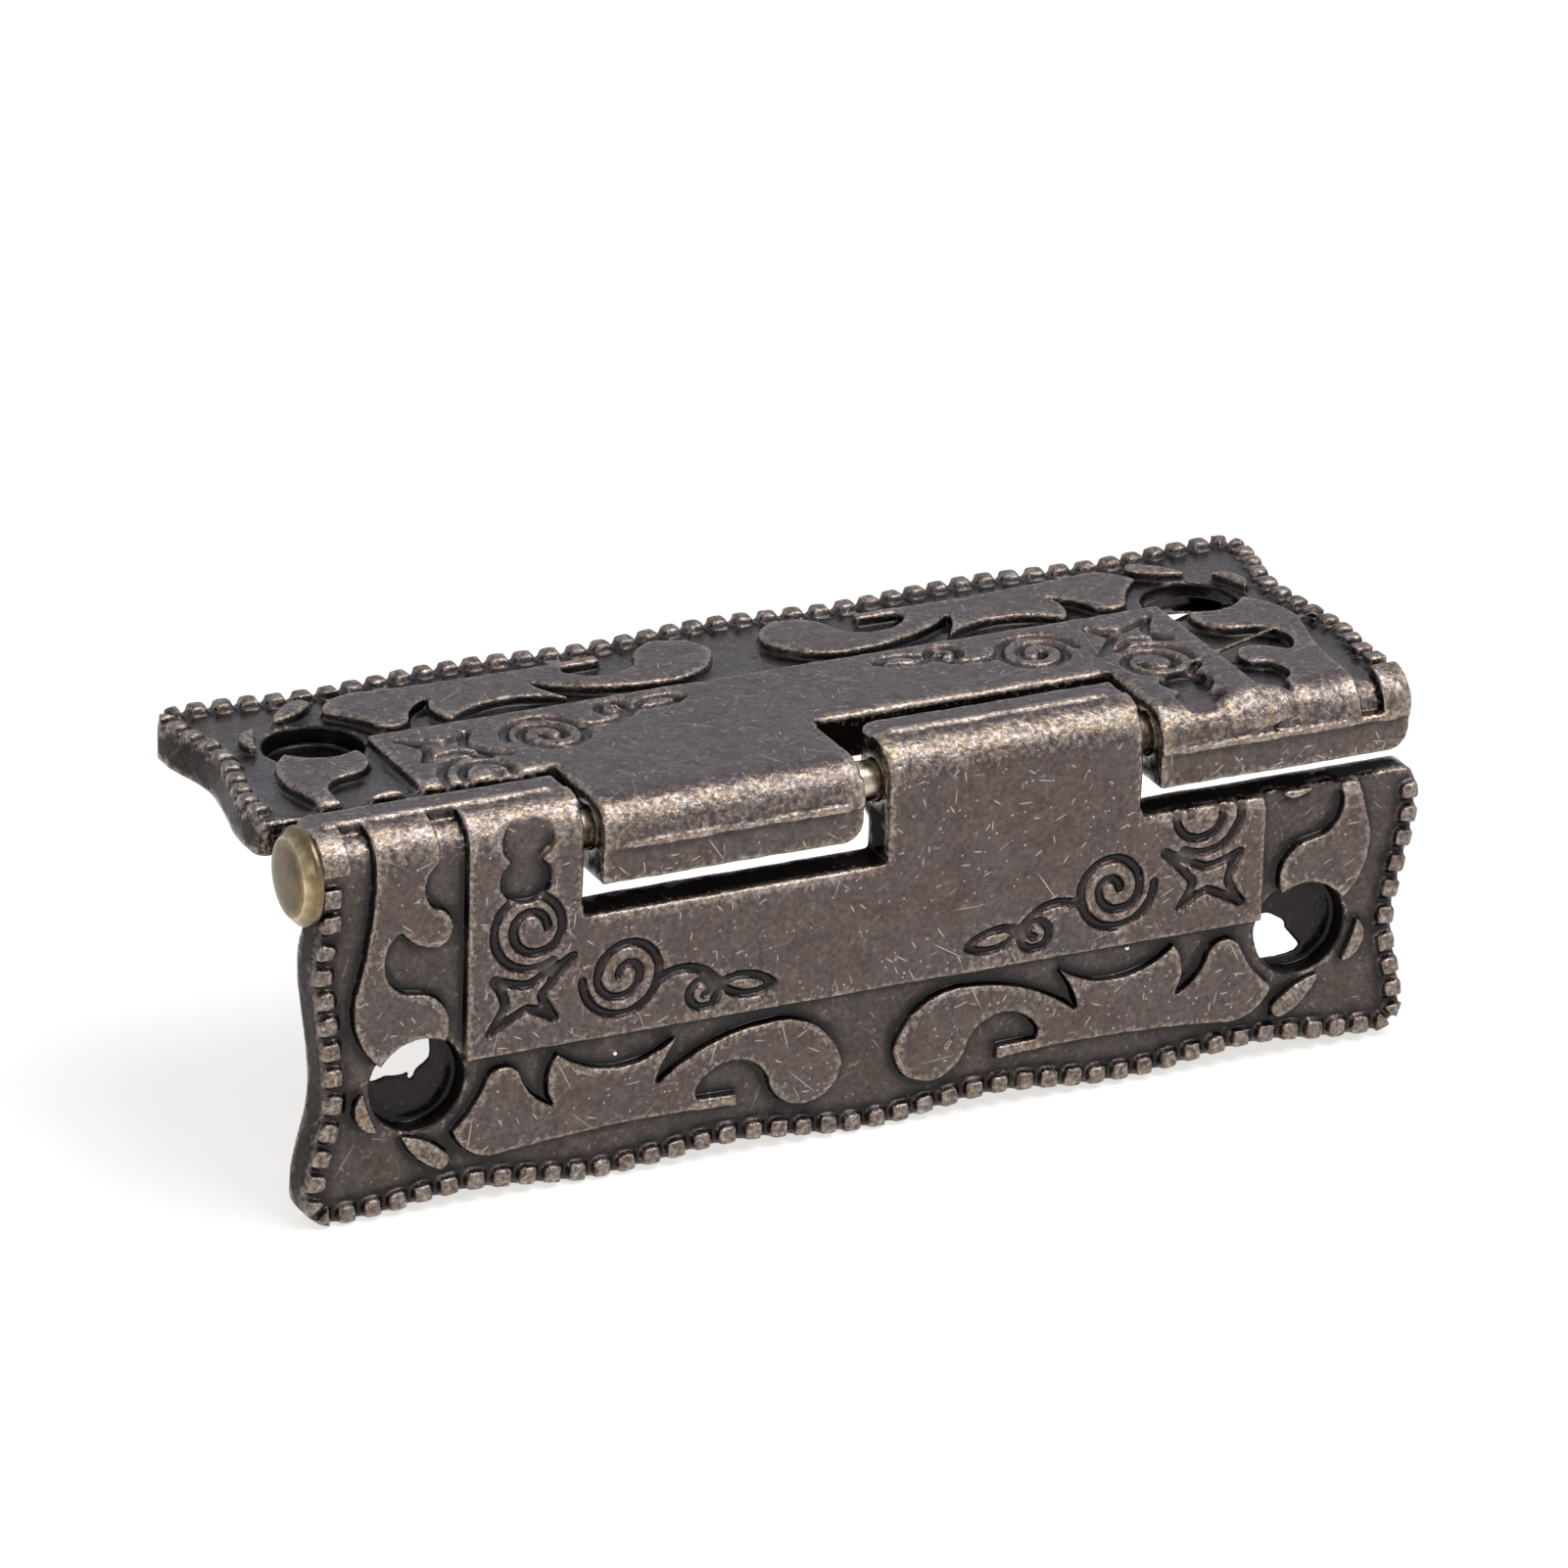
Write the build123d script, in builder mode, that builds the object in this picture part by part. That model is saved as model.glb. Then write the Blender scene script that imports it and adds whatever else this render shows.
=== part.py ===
"""Ornamental box hinge: two identical relief-cast leaves on one headed pin, standing square to each other."""

import math
import os

from build123d import *

os.makedirs("parts", exist_ok=True)

# Driving dimensions in millimetres.
# A leaf is drawn as its ornamented face is seen: x runs along the pin, y runs up from the leaf to the pin,
# z comes out of the face, and the pin's axis lies on y = 0, z = 0.

# Plate of a leaf
half_length = 26.75  # middle of the leaf to its widest point
reach = 15.8  # pin axis to the crests of the scalloped edge
shoulder = 3.3  # pin axis to the plate's edge in the gap between two knuckles
end_shoulder = 3.15  # pin axis to the plate's edge beside the last knuckle
face_height = 1.7  # pin axis to the raised face
plate_back = 0.4  # pin axis to the back face
scallop_depth = 0.48
rim_corner = 1.25  # radius of the two outer corners
rim_corner_in = 0.32  # how far these corners stand back from the widest point
rim_waist_y = 10.6  # pin axis to where the short ends draw in most
free_waist_in = 0.9  # how far the end that has no knuckle draws in there
free_crest_y = 5.2  # pin axis to the widest point, at that end
free_top_in = 0.45  # how far it draws in again above it
free_reach_in = 0.25  # how much less that end reaches from the pin
pin_waist_in = 1.05  # how far the knuckle's end draws in
pin_crest_in = 0.75  # how far it stands back where it swells
pin_crest_y = 6.0  # pin axis to that swell
shoulder_corner = 0.6

# Knuckles
middle_knuckle_length = 12.3
end_setback = 0.9  # end knuckle's outer face to the leaf's widest point
middle_gap = 1.3  # between the two middle knuckles, where the pin shows
end_gap = 0.75  # between a middle knuckle and the end one beside it
knuckle_top = 2.0  # pin axis to the side that faces away from the leaf
knuckle_back = 1.9  # pin axis to the flat back
knuckle_root = 1.2  # pin axis to where the flat back ends, towards the leaf
knuckle_heel = 0.7  # further run of the slope from there to the plate's back
knuckle_edge = 0.6
knuckle_end_round = 0.95

# Screw holes
hole_inset = 5.55  # hole axis to the leaf's widest point
hole_y = 9.9  # pin axis to hole axis
hole_radius = 2.2

# Pin
pin_radius = 0.9
pin_clearance = 0.05
pin_end_inset = 0.3
head_radius = 2.2
head_thickness = 0.95
head_dome = 0.2
head_rim = 0.4
head_gap = 0.05

# Relief
relief = 0.5  # depth of the ground below the face
panel_inset = 7.65  # panel's short side to the leaf's widest point
panel_bottom = 9.1
ornament = 1.0  # unit in which the scrolls and petals are drawn
stalk_left = 2.2  # hole axis to the stalk's outer side, where it runs over the knuckle
stalk_right = 0.75  # hole axis to its inner side there
end_lump = 1.3  # length of the raised lump that ends the border on the knuckle
end_lump_y = 0.4  # pin axis to where it starts
bead_width = 0.86  # along the rim
bead_length = 0.85  # across it
bead_height = 0.48
bead_pitch = 1.2
bead_inset = 0.05  # rim to the bead's outer side

# Where the knuckles end along the pin
middle_start = middle_gap / 2
middle_end = middle_start + middle_knuckle_length
end_start = middle_end + end_gap
end_end = half_length - end_setback
end_knuckle_length = end_end - end_start
ground = face_height - relief
hole_x = half_length - hole_inset
panel_half_width = half_length - panel_inset


def half_rim(reach_in, waist_in, crest_in, crest_y, top_in):
    """Half of the leaf's rim, drawn on the right, from the middle of the scalloped edge to the pin."""
    crest_pitch = (half_length - rim_corner_in - rim_corner) / 2
    rises = [scallop_depth * (step % 2) + reach_in * step / 4 for step in range(5)]
    scallops = [(step * crest_pitch / 2, rise - reach) for step, rise in enumerate(rises)]
    with BuildLine() as rim:
        edge = Spline(*scallops, tangents=[(1, 0), (1, 0)])
        corner = JernArc(edge @ 1, edge % 1, rim_corner, 90)
        end = Spline(
            corner @ 1,
            (half_length - waist_in, -rim_waist_y),
            (half_length - crest_in, -crest_y),
            (half_length - top_in, -head_radius - head_gap),
            tangents=[(0, 1), (-0.35, 1)],
        )
        Line(end @ 1, (half_length - top_in, 0))
    return rim.wire()


def by_hole(*points):
    """Ornament points drawn from the centre of the left screw hole."""
    return [(ornament * x - hole_x, ornament * y - hole_y) for x, y in points]


def by_pin(*points):
    """Ornament points drawn from the pin's axis above the left screw hole."""
    return [(ornament * x - hole_x, ornament * y) for x, y in points]


def by_edge(*points):
    """Ornament points drawn from the middle of the scalloped edge."""
    return [(ornament * x, ornament * y - reach) for x, y in points]


def by_panel(*points):
    """Ornament points drawn from the lower left corner of the panel."""
    return [(ornament * x - panel_half_width, ornament * y - panel_bottom) for x, y in points]


def arcs_through(points):
    """Arcs end to end: each runs from one point, through the next, to the one after."""
    for first in range(0, len(points) - 2, 2):
        ThreePointArc(*points[first : first + 3])


def end_scroll():
    """Stalk beside the screw hole, with a volute half way and a lobe that stops at the hole."""
    with BuildSketch() as scroll:
        with BuildLine():
            Line(*by_pin((-stalk_left, 2.4), (-stalk_left, -0.6)))
            arcs_through(by_pin((-stalk_left, -0.6), (-2.5, -2.9), (-3.05, -5.2), (-3.0, -7.0), (-1.9, -8.7)))
            Polyline(*by_pin((-1.9, -8.7), (0, -9.2), (1.1, -8.1)))
            arcs_through(by_pin((1.1, -8.1), (1.2, -6.7), (0.2, -5.7)))
            Line(*by_pin((0.2, -5.7), (-0.8, -5.5)))
            arcs_through(by_pin((-0.8, -5.5), (-1.75, -4.0), (-1.0, -2.6), (-0.1, -3.4), (0.8, -3.6)))
            arcs_through(by_pin((0.8, -3.6), (1.4, -2.8), (0.6, -1.8), (0.1, -0.8), (stalk_right, 0.3)))
            Polyline(*by_pin((stalk_right, 0.3), (stalk_right, 2.4), (-stalk_left, 2.4)))
        make_face()
    return scroll.sketch


def outer_scroll():
    """Long scroll under the panel: two lobes, a notch between them, and a hooked head beside the middle."""
    with BuildSketch() as scroll:
        with BuildLine():
            arcs_through(by_edge((-6.25, 2.35), (-13, 2.45), (-17.5, 2.1), (-19.0, 2.5), (-19.7, 3.5)))
            arcs_through(by_edge((-19.7, 3.5), (-18.9, 4.3), (-18.2, 5.4), (-17.4, 6.1), (-16.5, 5.5)))
            arcs_through(by_edge((-16.5, 5.5), (-15.9, 4.5), (-14.8, 3.8), (-15.25, 5.2), (-14.8, 6.25)))
            arcs_through(by_edge((-14.8, 6.25), (-12.1, 5.15), (-9.1, 6.15), (-9.8, 5.1), (-10.2, 3.9)))
            arcs_through(by_edge((-10.2, 3.9), (-7.6, 5.45), (-4.8, 6.0), (-2.2, 5.2), (-1.25, 3.6)))
            arcs_through(by_edge((-1.25, 3.6), (-2.9, 1.85), (-4.8, 3.4), (-6.4, 4.5), (-8.25, 3.4)))
            Polyline(*by_edge((-8.25, 3.4), (-8.2, 2.95), (-6.25, 2.9), (-6.25, 2.35)))
        make_face()
    return scroll.sketch


def hole_petals():
    """Two petals that follow the lower rim of the screw hole."""
    with BuildSketch() as petals:
        with BuildLine():
            arcs_through(by_hole((-2.7, 0.1), (-3.05, -0.9), (-1.95, -1.85), (-2.4, -0.8), (-2.7, 0.1)))
        make_face()
        with BuildLine():
            arcs_through(by_hole((-0.9, -2.2), (0.5, -2.7), (1.35, -3.4), (1.25, -3.95), (0.7, -3.95)))
            arcs_through(by_hole((0.7, -3.95), (-0.2, -3.3), (-0.9, -2.2)))
        make_face()
    return petals.sketch


# Outline of what stands up from the ground of the relief
with BuildSketch() as raised:
    add(end_scroll())
    add(outer_scroll())
    add(hole_petals())
    mirror(about=Plane.YZ)
    with Locations((0, -panel_bottom)):
        Rectangle(2 * panel_half_width, panel_bottom + knuckle_top, align=(Align.CENTER, Align.MIN))
    with Locations((-end_end, end_lump_y)):
        Rectangle(end_lump, knuckle_top, align=(Align.MIN, Align.MIN))
    with Locations(*by_panel((2.8, 9.65), (2.7, 7.9))):
        Ellipse(1.2 * ornament, 1.05 * ornament, mode=Mode.SUBTRACT)

# Rim of the leaf: the half that ends free, and the half that ends on a knuckle
free_rim = half_rim(free_reach_in, free_waist_in, 0, free_crest_y, free_top_in)
pin_rim = half_rim(0, pin_waist_in, pin_crest_in, pin_crest_y, end_setback)


def bead_row(rim, highest):
    """Beads along half a rim, each narrowed inwards by as much as the rim turns beside it."""
    count = round(rim.length / bead_pitch)
    with BuildSketch() as row:
        for number in range(count):
            along = (number + 0.5) / count
            place = rim @ along
            if place.Y > highest - bead_width / 2:
                break
            angles = [rim.tangent_angle_at((number + end) / count) for end in (0, 1)]
            narrowing = max(0, 2 * bead_length * math.tan(math.radians(angles[1] - angles[0]) / 2))
            inner = max(bead_width - narrowing, bead_width / 16) / 2
            with Locations(Location((place.X, place.Y, 0), (0, 0, rim.tangent_angle_at(along)))):
                Polygon(
                    (-bead_width / 2, bead_inset),
                    (bead_width / 2, bead_inset),
                    (inner, bead_inset + bead_length),
                    (-inner, bead_inset + bead_length),
                    align=None,
                )
    return row.sketch


# The one casting from which both leaves are made
with BuildPart() as casting:
    # Knuckles: flush with the face, rounded over the pin and flat behind it
    across = Plane(origin=(0, 0, 0), x_dir=(0, 1, 0), z_dir=(1, 0, 0))
    round_y = knuckle_top - face_height
    heel_y = -knuckle_root - knuckle_heel
    for start, length in ((-end_end, end_knuckle_length), (middle_start, middle_knuckle_length)):
        with BuildSketch(across.offset(start)) as section:
            with BuildLine():
                Polyline((heel_y, -plate_back), (heel_y, face_height), (round_y, face_height))
                CenterArc((round_y, 0), face_height, 0, 90)
                Polyline((knuckle_top, 0), (knuckle_top, -knuckle_back), (-knuckle_root, -knuckle_back))
                Line((-knuckle_root, -knuckle_back), (heel_y, -plate_back))
            make_face()
            back_corners = section.vertices().group_by(Axis.Z)[0]
            fillet(back_corners.sort_by(Axis.Y)[-1], knuckle_edge)
        extrude(amount=length)
    back_ends = casting.edges().filter_by(Axis.Y).group_by(Axis.Z)[0].sort_by(Axis.X)
    fillet([back_ends[0], back_ends[2]], knuckle_end_round)

    # Plate, with gaps in its upper edge for the other leaf's knuckles
    with BuildSketch(Plane.XY.offset(-plate_back)) as plate:
        with BuildLine():
            add(free_rim)
            add(mirror(pin_rim, about=Plane.YZ, mode=Mode.PRIVATE))
            Line((half_length - free_top_in, 0), (-end_end, 0))
        make_face()
        corner = (Align.MIN, Align.MIN)
        with Locations((-end_start, -shoulder)):
            Rectangle(end_start + middle_start, 2 * shoulder, align=corner, mode=Mode.SUBTRACT)
        with Locations((middle_end, -end_shoulder)):
            Rectangle(half_length, 2 * end_shoulder, align=corner, mode=Mode.SUBTRACT)
        gap_corner = (half_length, -end_shoulder, -plate_back)
        fillet(plate.vertices().sort_by_distance(gap_corner)[0], shoulder_corner)
    extrude(amount=plate_back + face_height)

    # Ground of the relief
    with BuildSketch(Plane.XY.offset(ground)):
        Rectangle(4 * half_length, 4 * reach)
        add(raised.sketch, mode=Mode.SUBTRACT)
    extrude(amount=face_height, mode=Mode.SUBTRACT)

    # The ground runs on over the round of the end knuckle, on both sides of the stalk
    stalk_start = -hole_x - ornament * stalk_left
    stalk_stop = -hole_x + ornament * stalk_right
    for start, stop in ((end_lump - end_end, stalk_start), (stalk_stop, -panel_half_width)):
        with BuildSketch(across.offset(start)):
            with Locations((round_y, 0)):
                Rectangle(2 * face_height, 2 * face_height, align=(Align.MIN, Align.MIN))
                Circle(ground, mode=Mode.SUBTRACT)
        extrude(amount=stop - start, mode=Mode.SUBTRACT)

    # Border of beads, up to the gap on one side and up to the pin on the other
    with BuildSketch(Plane.XY.offset(ground)):
        add(bead_row(pin_rim, 0))
        mirror(about=Plane.YZ, mode=Mode.REPLACE)
        add(bead_row(free_rim, -end_shoulder))
    extrude(amount=bead_height)

    # Screw holes and the bore for the pin
    with Locations((hole_x, -hole_y, face_height), (-hole_x, -hole_y, face_height)):
        Hole(hole_radius)
    with Locations(across):
        Cylinder(pin_radius + pin_clearance, 4 * half_length, mode=Mode.SUBTRACT)

# Row frame: +X along the pin, +Y back, +Z up, from the front leaf's back face midway between its screw holes
pin_axis = (0, -plate_back, hole_y)
front_plane = Plane(origin=pin_axis, x_dir=(1, 0, 0), z_dir=(0, -1, 0))
top_plane = Plane(origin=pin_axis, x_dir=(-1, 0, 0), z_dir=(0, 0, 1))

# Front leaf: hangs from the pin and faces the viewer
with BuildPart(front_plane) as front_leaf:
    add(casting.part)

# Top leaf: the same casting turned half round, lying back from the pin
with BuildPart(top_plane) as top_leaf:
    add(casting.part)

# Pin: a round head outside the front leaf's end knuckle and a plain shank through all the knuckles
head_seat = -end_end - head_gap
head_crown = head_seat - head_thickness
head_edge = head_crown + head_dome
rim = min(head_rim, 0.8 * (head_thickness - head_dome))
shank_tip = end_end - pin_end_inset
with BuildPart() as hinge_pin:
    with BuildSketch(front_plane) as profile:
        with BuildLine():
            dome = TangentArc((head_crown, 0), (head_edge, head_radius - rim), tangent=(0, 1))
            Polyline(dome @ 1, (head_edge + rim, head_radius), (head_seat, head_radius), (head_seat, pin_radius))
            Polyline((head_seat, pin_radius), (shank_tip, pin_radius), (shank_tip, 0), (head_crown, 0))
        make_face()
    revolve(axis=Axis(pin_axis, (1, 0, 0)))

for name, piece in (("front_leaf", front_leaf), ("top_leaf", top_leaf), ("hinge_pin", hinge_pin)):
    piece.part.label = name
    export_step(piece.part, f"parts/{name}.step")
    print(name, piece.part.volume)
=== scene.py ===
# %% [markdown]
# # A relief-cast box hinge
# This hinge is two identical zinc castings that turn on one headed pin.
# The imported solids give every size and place, and this script gives them the look of the real thing:
# soft cast edges, incised lines, flash in the screw holes and a rubbed antique bronze plating.

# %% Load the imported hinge
import math

import bmesh
import bpy
import numpy as np
from mathutils import Matrix, Vector, noise


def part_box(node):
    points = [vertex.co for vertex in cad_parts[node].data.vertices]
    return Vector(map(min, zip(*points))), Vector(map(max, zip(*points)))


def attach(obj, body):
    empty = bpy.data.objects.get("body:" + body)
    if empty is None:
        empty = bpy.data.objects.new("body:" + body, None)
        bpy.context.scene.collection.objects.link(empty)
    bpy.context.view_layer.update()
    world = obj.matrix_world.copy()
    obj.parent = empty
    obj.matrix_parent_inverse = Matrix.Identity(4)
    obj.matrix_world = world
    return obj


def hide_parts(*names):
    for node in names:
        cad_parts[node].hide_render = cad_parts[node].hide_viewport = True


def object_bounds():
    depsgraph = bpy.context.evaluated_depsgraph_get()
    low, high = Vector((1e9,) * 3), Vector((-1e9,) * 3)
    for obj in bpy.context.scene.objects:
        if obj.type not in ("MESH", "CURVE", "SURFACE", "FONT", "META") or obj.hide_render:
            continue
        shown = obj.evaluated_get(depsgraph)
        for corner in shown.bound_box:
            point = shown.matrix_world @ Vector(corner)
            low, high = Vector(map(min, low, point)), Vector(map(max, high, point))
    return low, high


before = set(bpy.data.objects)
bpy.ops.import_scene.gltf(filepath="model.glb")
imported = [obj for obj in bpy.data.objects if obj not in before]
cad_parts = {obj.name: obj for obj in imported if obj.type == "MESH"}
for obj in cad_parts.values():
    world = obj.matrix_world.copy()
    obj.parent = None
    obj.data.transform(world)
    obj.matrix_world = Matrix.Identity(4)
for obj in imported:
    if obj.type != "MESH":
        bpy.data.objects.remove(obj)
cad_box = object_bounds()
mm = 0.001
print("solids", sorted(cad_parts), "box in mm", [[round(v / mm, 2) for v in c] for c in cad_box])

# %% [markdown]
# ## Camera
# The photograph looks down on the hinge from the front left, from far away through a long lens.
# A camera could be aimed by eye, but the viewing direction was found from the hinge's own corners and holes,
# so its three axes are written down and turned straight into a matrix.

# %% Camera
lens_mm = 277.9
camera_place = Vector((-216.777, -424.520, 214.040)) * mm
look = Vector((0.41270698, 0.82111164, -0.39426972))
right = Vector((0.89816362, -0.43888363, 0.02613931))
camera = bpy.data.objects.new("camera", bpy.data.cameras.new("camera"))
bpy.context.scene.collection.objects.link(camera)
camera.data.sensor_width = 36
camera.data.lens = lens_mm
camera.data.clip_start = 0.01
axes = Matrix((right, right.cross(look), -look)).transposed().to_4x4()
camera.matrix_world = Matrix.Translation(camera_place) @ axes
bpy.context.scene.camera = camera
bpy.context.scene.view_settings.view_transform = "Standard"
print("camera at", [round(v, 3) for v in camera_place], "lens", lens_mm, "mm")

# %% [markdown]
# ## Colours and nodes
# Finishes are written as the hex colours that a picture editor shows.
# Blender's shaders want linear light, so one function converts them.
# One more function adds a shader node with its settings and links, which keeps each finish readable.


# %% Colour and node helpers
def colour(code):
    """A hex colour as linear red, green, blue and alpha."""
    steps = [int(code[i : i + 2], 16) / 255 for i in (1, 3, 5)]
    return tuple(s / 12.92 if s <= 0.04045 else ((s + 0.055) / 1.055) ** 2.4 for s in steps) + (1.0,)


def add(tree, kind, inputs=None, **settings):
    """A new node in tree, with its settings, and its inputs linked or set."""
    node = tree.nodes.new("ShaderNode" + kind)
    for name, value in settings.items():
        setattr(node, name, value)
    for name, value in (inputs or {}).items():
        if isinstance(value, bpy.types.NodeSocket):
            tree.links.new(value, node.inputs[name])
        else:
            node.inputs[name].default_value = value
    return node


def new_finish(name):
    """An empty node material and its output node."""
    finish = bpy.data.materials.new(name)
    finish.use_nodes = True
    finish.node_tree.nodes.clear()
    return finish, finish.node_tree, add(finish.node_tree, "OutputMaterial")


print("brass yellow in linear light", [round(v, 3) for v in colour("#66532f")])

# %% [markdown]
# ## Floor and light
# The photograph is a cut-out on white, taken in a bright light tent.
# A pale floor keeps a soft shadow under the hinge, and glows for the camera so that it looks white.
# Metal shows what is around it, so the floor and the sky look the same to glossy rays as to the camera.

# %% Floor
floor_level = cad_box[0].z
floor_half = 3.0
floor_glow = 0.7
floor_shape = bmesh.new()
bmesh.ops.create_grid(floor_shape, x_segments=1, y_segments=1, size=floor_half)
bmesh.ops.translate(floor_shape, vec=(0, 0, floor_level), verts=floor_shape.verts)
floor_mesh = bpy.data.meshes.new("floor")
floor_shape.to_mesh(floor_mesh)
floor_shape.free()
floor = bpy.data.objects.new("floor", floor_mesh)
bpy.context.scene.collection.objects.link(floor)

paper, tree, output = new_finish("white_paper_sweep")
path = add(tree, "LightPath")
rays = {0: path.outputs["Is Camera Ray"], 1: path.outputs["Is Glossy Ray"]}
seen = add(tree, "Math", rays, operation="MAXIMUM")
lift = add(tree, "Math", {0: seen.outputs[0], 1: floor_glow}, operation="MULTIPLY")
sheet = add(
    tree,
    "BsdfPrincipled",
    {
        "Base Color": colour("#b4b4b4"),
        "Roughness": 0.9,
        "Specular IOR Level": 0.0,
        "Emission Color": colour("#fffcf8"),
        "Emission Strength": lift.outputs[0],
    },
)
tree.links.new(sheet.outputs[0], output.inputs["Surface"])
floor_mesh.materials.append(paper)
print("floor at", round(floor_level / mm, 2), "mm")

# %% Sky and lamps
sky_light = 0.62
sky_seen = 1.0
sky = bpy.data.worlds.new("light_tent")
bpy.context.scene.world = sky
sky.use_nodes = True
tree = sky.node_tree
tree.nodes.clear()
path = add(tree, "LightPath")
rays = {0: path.outputs["Is Camera Ray"], 1: path.outputs["Is Glossy Ray"]}
seen = add(tree, "Math", rays, operation="MAXIMUM")
seen = add(tree, "Math", {0: seen.outputs[0], 1: path.outputs["Is Transmission Ray"]}, operation="MAXIMUM")
level = add(tree, "MapRange", {"Value": seen.outputs[0], "To Min": sky_light, "To Max": sky_seen})
glow = add(tree, "Background", {"Color": colour("#d8d9e3"), "Strength": level.outputs[0]})
tree.links.new(glow.outputs[0], add(tree, "OutputWorld").inputs["Surface"])


def softbox(name, place, size, radiance, tint):
    """A square area lamp that faces the hinge and shows as bright as radiance in a mirror."""
    lamp = bpy.data.lights.new(name, "AREA")
    lamp.size = size
    lamp.energy = radiance * math.pi * size * size
    lamp.color = colour(tint)[:3]
    box = bpy.data.objects.new(name, lamp)
    box.matrix_world = Matrix.Translation(place) @ Vector(place).to_track_quat("Z", "Y").to_matrix().to_4x4()
    bpy.context.scene.collection.objects.link(box)
    print(name, "at", place, "radiance", radiance)


softbox("overhead_softbox", (0.16, -0.16, 0.46), 0.34, 5.0, "#ffffff")
softbox("left_softbox", (-0.55, -0.30, 0.30), 0.30, 1.6, "#fffaf4")

# %% [markdown]
# ## The leaf's drawing
# Both leaves come from one mould, so every detail is drawn once, in millimetres, as the face is seen:
# x runs along the pin, y runs up to the pin, z comes out of the face and the pin's axis is the origin.
# One matrix for each leaf then carries that drawing to its place on the hinge.

# %% Places of the two leaves
face_height = 1.7
ground_height = 1.2
back_height = -0.4
pin_axis = Vector((0, back_height, 9.9)) * mm


def leaf_place(along, up, out):
    """The matrix from a leaf's drawing in millimetres to the hinge in metres."""
    turn = Matrix((along, up, out)).transposed().to_4x4()
    return Matrix.Translation(pin_axis) @ turn @ Matrix.Scale(mm, 4)


places = {
    "front_leaf": leaf_place((1, 0, 0), (0, 0, 1), (0, -1, 0)),
    "top_leaf": leaf_place((-1, 0, 0), (0, -1, 0), (0, 0, 1)),
}


def casting_copy(node):
    """A merged copy of a packed leaf, carried back to the drawing."""
    shape = bmesh.new()
    shape.from_mesh(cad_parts[node].data)
    bmesh.ops.remove_doubles(shape, verts=shape.verts, dist=0.002 * mm)
    bmesh.ops.transform(shape, matrix=places[node].inverted(), verts=shape.verts)
    loose = sum(not edge.is_manifold for edge in shape.edges)
    print(node, len(shape.faces), "faces,", loose, "open edges")
    return shape


# %% [markdown]
# ## Incised lines
# The flat panel carries spirals, a four-pointed star and a tendril, cut into the pattern with a round tool.
# A bevelled curve could stand for the tool's path, but its arcs are known, so a small ring is spun round each
# arc's centre in turn, and the last ring of one arc starts the next. Round ends close each line.

# %% A round tool that follows arcs
tool_radius = 0.22
tool_depth = 0.32
tool_sides = 10
turn_step = 12
tool_z = face_height - tool_depth + tool_radius
panel_corner = Vector((-19.1, -9.1))


def on_panel(x, y):
    """A point of the drawing, measured from the panel's lower left corner."""
    return Vector((panel_corner.x + x, panel_corner.y + y, tool_z))


def cut_line(shape, start, heading, bends):
    """Sweeps the tool from start through bends of (radius, degrees to the left), to where it ends."""
    place = start.copy()
    out = Vector((math.cos(heading), math.sin(heading), 0))
    turn = out.to_track_quat("Z", "Y").to_matrix().to_4x4()
    stand = Matrix.Translation(place)
    bmesh.ops.create_icosphere(shape, subdivisions=2, radius=tool_radius, matrix=stand)
    ring = bmesh.ops.create_circle(shape, segments=tool_sides, radius=tool_radius, matrix=stand @ turn)
    ring = ring["verts"] + list({edge for vert in ring["verts"] for edge in vert.link_edges})
    for radius, degrees in bends:
        angle = math.radians(degrees)
        left = Vector((-math.sin(heading), math.cos(heading), 0))
        centre = place + left * math.copysign(radius, degrees)
        steps = max(3, round(abs(degrees) / turn_step))
        swept = bmesh.ops.spin(shape, geom=ring, cent=centre, axis=(0, 0, 1), angle=angle, steps=steps)
        ring = swept["geom_last"]
        place = centre + Matrix.Rotation(angle, 3, "Z") @ (place - centre)
        heading += angle
    bmesh.ops.create_icosphere(shape, subdivisions=2, radius=tool_radius, matrix=Matrix.Translation(place))
    return place, heading


def cut_arc(shape, start, via, end):
    """Sweeps the tool along the arc through three points."""
    chord = end - start
    first = via - start
    second = end - via
    bend = 2 * math.atan2(first.cross(second).z, first.dot(second))
    radius = chord.length / (2 * abs(math.sin(bend / 2)))
    heading = math.atan2(chord.y, chord.x) - bend / 2
    return cut_line(shape, start, heading, [(radius, math.degrees(bend))])


# %% The lines of the panel
star_bow = 0.1
lines = bmesh.new()
cut_line(lines, on_panel(3.7, 5.6), math.pi / 2, [(0.8, 180), (1.15, 180), (1.6, 180), (1.85, 120)])
cut_line(lines, on_panel(7.1, 2.75), math.pi / 2, [(0.5, -180), (1.0, -180), (1.45, -180), (1.8, -180)])
tips = [Vector(tip) for tip in ((1.23, 3.5), (4.95, 4.05), (4.12, 1.3), (1.05, 1.05))]
waists = [Vector(waist) for waist in ((2.85, 3.02), (3.48, 2.45), (2.8, 1.95), (1.8, 2.3))]
middle = sum(waists, Vector((0, 0))) / 4
for i, waist in enumerate(waists):
    for tip in (tips[i], tips[(i + 1) % 4]):
        via = (tip + waist) / 2
        via += star_bow * (middle - via).normalized()
        cut_arc(lines, on_panel(*tip), on_panel(*via), on_panel(*waist))
curl = cut_arc(lines, on_panel(9.1, 2.3), on_panel(10.6, 2.5), on_panel(11.75, 1.7))
cut_line(lines, *curl, [(0.72, -180), (0.6, -150), (0.34, -150)])
for via in ((13.3, 1.75), (13.2, 0.85)):
    cut_arc(lines, on_panel(11.9, 1.55), on_panel(*via), on_panel(14.45, 1.15))
bmesh.ops.holes_fill(lines, edges=[edge for edge in lines.edges if edge.is_boundary], sides=0)
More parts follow.
